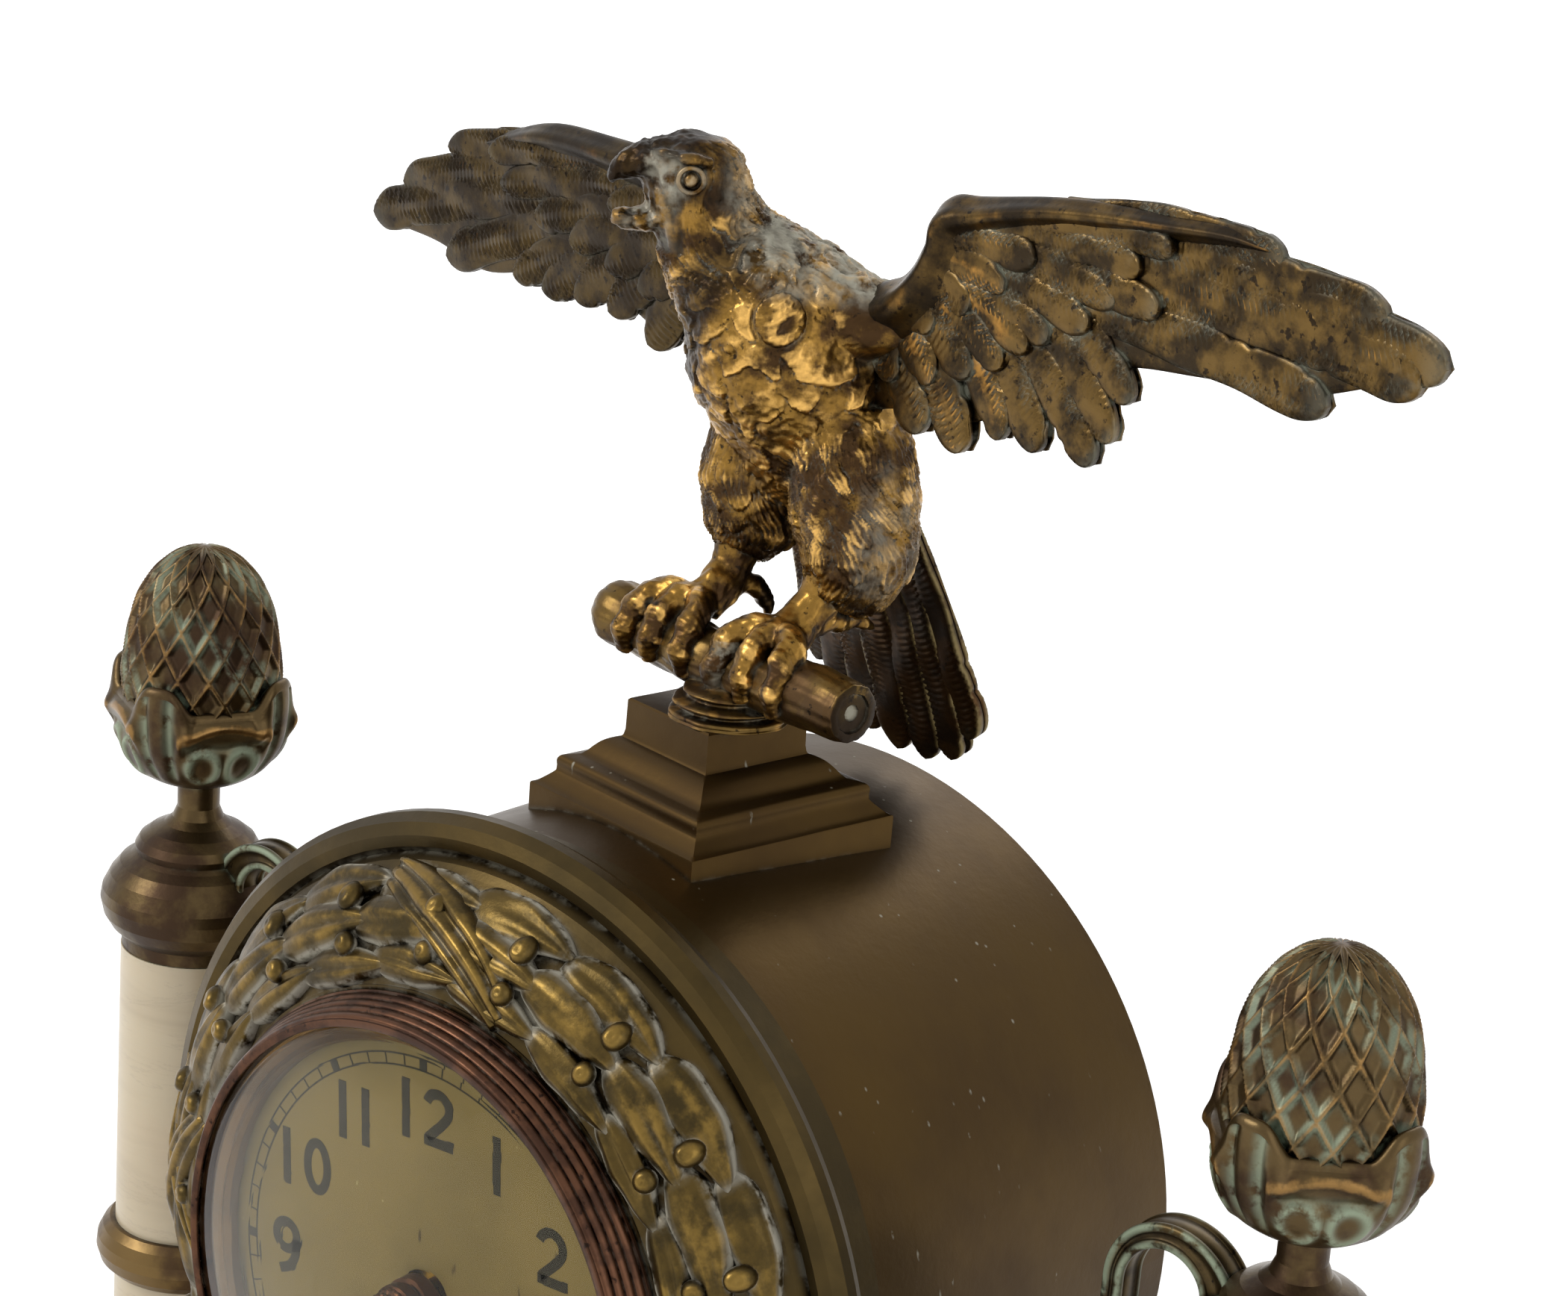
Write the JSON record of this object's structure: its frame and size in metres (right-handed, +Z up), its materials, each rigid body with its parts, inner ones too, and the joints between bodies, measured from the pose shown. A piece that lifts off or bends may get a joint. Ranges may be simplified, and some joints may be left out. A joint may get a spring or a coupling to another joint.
{
  "type": "portico clock",
  "caption": "Portico clock: a glazed drum clock held by scroll brackets between marble columns with pine cone finials, a spread-winged eagle on top and a pendulum below.",
  "frame": {"origin": "middle of the bounding box at the level that the feet stand on", "axes": "+X to the viewer's right along the base, +Y to the back, +Z up"},
  "size_m": [0.282, 0.136, 0.3723],
  "materials": {
    "marble": "polished veined cream marble",
    "bronze": "brown patinated cast bronze",
    "gilt": "worn gilt bronze with dark patina",
    "case_brass": "olive brown aged sheet brass",
    "ring_brass": "aged cast brass with pale residue in the hollows",
    "copper": "copper red turned and reeded",
    "sight_brass": "brown lacquered turned brass",
    "glass": "clear domed and bevelled",
    "dial": "aged cream enamel paint",
    "steel": "plain steel",
    "movement_brass": "polished and brushed brass",
    "bob_brass": "polished brass",
    "hand_bronze": "brown bronzed"
  },
  "bodies": {
    "clock": {"base_lower": "marble", "base_band": "bronze", "base_upper": "marble", "feet": "bronze", "tie_rods": "steel", "nuts": "steel", "column_base_left": "bronze", "column_base_right": "bronze", "shaft_lower_left": "marble", "shaft_lower_right": "marble", "collar_left": "bronze", "collar_right": "bronze", "shaft_upper_left": "marble", "shaft_upper_right": "marble", "cap_left": "bronze", "cap_right": "bronze", "finial_left": "bronze", "finial_right": "bronze", "bracket_left": "bronze", "bracket_right": "bronze", "drum_case": "case_brass", "front_ring": "ring_brass", "bezel_pin": "steel", "dial": "dial", "rear_ring": "ring_brass", "rear_pin": "steel", "case_rods": "steel", "screws": "steel", "front_plate": "movement_brass", "back_plate": "movement_brass", "pillars": "movement_brass", "suspension_cock": "movement_brass", "pedestal": "bronze", "mound": "gilt", "branch": "gilt", "eagle": "gilt", "wing_left": "gilt", "wing_right": "gilt"},
    "door": {"bezel": "copper", "glass": "glass", "sight_ring": "sight_brass"},
    "rear_door": {"rear_door": "case_brass"},
    "rear_latch": {"rear_latch": "movement_brass"},
    "barrel": {"barrel": "movement_brass"},
    "winding": {"winding_arbor": "steel"},
    "click": {"click": "steel"},
    "centre": {"centre_wheel": "movement_brass"},
    "minute": {"cannon_pinion": "steel", "minute_hand": "hand_bronze", "hand_nut": "hand_bronze"},
    "third": {"third_wheel": "movement_brass"},
    "escape": {"escape_wheel": "movement_brass"},
    "minute_wheel": {"minute_wheel": "movement_brass"},
    "hour": {"hour_wheel": "movement_brass", "hour_hand": "hand_bronze"},
    "anchor": {"anchor": "steel"},
    "pendulum": {"suspension_spring": "steel", "pendulum_rod": "steel"},
    "bob": {"pendulum_bob": "bob_brass"},
    "rating_nut": {"rating_nut": "movement_brass"}
  },
  "joints": [
    {"name": "front_door", "type": "hinge", "parent": "clock", "child": "door", "pos_m": [0.0506, -0.0565, 0.2], "axis": [0, 0, 1], "range_deg": [0, 110]},
    {"name": "back_door", "type": "hinge", "parent": "clock", "child": "rear_door", "pos_m": [-0.0572, 0.044, 0.2], "axis": [0, 0, 1], "range_deg": [0, 110]},
    {"name": "back_latch", "type": "hinge", "parent": "clock", "child": "rear_latch", "pos_m": [0.0588, 0.0424, 0.2], "axis": [0, -1, 0], "range_deg": [0, 90]},
    {"name": "minute_turn", "type": "hinge", "parent": "clock", "child": "minute", "pos_m": [0, -0.055, 0.2], "axis": [0, -1, 0], "continuous": true},
    {"name": "escape_turn", "type": "hinge", "parent": "clock", "child": "escape", "pos_m": [0, -0.03, 0.21679], "axis": [0, -1, 0], "continuous": true},
    {"name": "centre_turn", "type": "hinge", "parent": "clock", "child": "centre", "pos_m": [0, -0.02, 0.2], "axis": [0, -1, 0], "continuous": true},
    {"name": "barrel_turn", "type": "hinge", "parent": "clock", "child": "barrel", "pos_m": [0.01432, -0.04, 0.18568], "axis": [0, -1, 0], "continuous": true},
    {"name": "third_turn", "type": "hinge", "parent": "clock", "child": "third", "pos_m": [-0.01255, -0.03, 0.21053], "axis": [0, -1, 0], "continuous": true},
    {"name": "motion_turn", "type": "hinge", "parent": "clock", "child": "minute_wheel", "pos_m": [-0.0097, -0.049, 0.2056], "axis": [0, -1, 0], "continuous": true},
    {"name": "hour_turn", "type": "hinge", "parent": "clock", "child": "hour", "pos_m": [0, -0.055, 0.2], "axis": [0, -1, 0], "continuous": true},
    {"name": "winding_turn", "type": "hinge", "parent": "clock", "child": "winding", "pos_m": [0.01432, -0.04, 0.18568], "axis": [0, 1, 0], "range_deg": [0, 1800]},
    {"name": "click_lift", "type": "hinge", "parent": "clock", "child": "click", "pos_m": [0.02292, -0.0495, 0.18888], "axis": [0, 1, 0], "range_deg": [0, 10], "stiffness_Nm_per_rad": 0.0005, "springref_deg": -5.73},
    {"name": "pendulum_swing", "type": "hinge", "parent": "clock", "child": "pendulum", "pos_m": [0, -0.0078, 0.23049], "axis": [0, -1, 0], "range_deg": [-4, 4]},
    {"name": "anchor_rock", "type": "hinge", "parent": "clock", "child": "anchor", "pos_m": [0, -0.0078, 0.22829], "axis": [0, -1, 0], "range_deg": [-4, 4]},
    {"name": "bob_slide", "type": "slide", "parent": "pendulum", "child": "bob", "axis": [0, 0, 1], "range_m": [-0.001, 0.001]},
    {"name": "rating_turn", "type": "hinge", "parent": "bob", "child": "rating_nut", "pos_m": [0, -0.0078, 0.06649], "axis": [0, 0, 1], "range_deg": [-720, 720]}
  ],
  "couplings": [
    {"joint": "centre_turn", "follows": "escape_turn", "ratio": 0.0074786},
    {"joint": "barrel_turn", "follows": "escape_turn", "ratio": -0.00093483},
    {"joint": "third_turn", "follows": "escape_turn", "ratio": -0.089744},
    {"joint": "motion_turn", "follows": "minute_turn", "ratio": -0.33333},
    {"joint": "hour_turn", "follows": "minute_turn", "ratio": 0.083333},
    {"joint": "anchor_rock", "follows": "pendulum_swing", "ratio": 1},
    {"joint": "rating_turn", "follows": "bob_slide", "rad_per_m": -12566}
  ]
}
